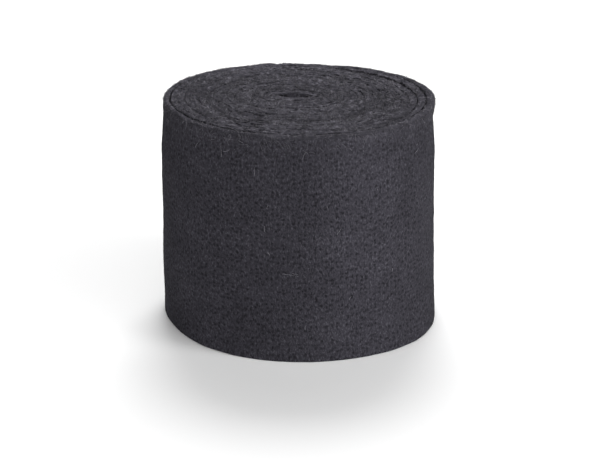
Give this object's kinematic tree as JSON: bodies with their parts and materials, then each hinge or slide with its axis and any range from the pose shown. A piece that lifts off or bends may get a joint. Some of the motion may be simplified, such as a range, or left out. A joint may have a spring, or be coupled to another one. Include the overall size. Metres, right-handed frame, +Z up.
{
  "type": "roll of felt",
  "caption": "Tightly wound roll of dark charcoal needled felt strip, standing on its cut edge, with a spiral of turns on both ends and its loose end pressed down at the back.",
  "frame": {"origin": "middle of the roll's outline, on the surface it stands on", "axes": "+Z up along the winding axis, +Y to the back, where the loose end lies, +X to the right"},
  "size_m": [0.1234, 0.1224, 0.1],
  "materials": {
    "felt": "matte needled felt, hairy, with fine needle holes"
  },
  "bodies": {
    "root": {"felt_roll": "felt"}
  },
  "joints": []
}
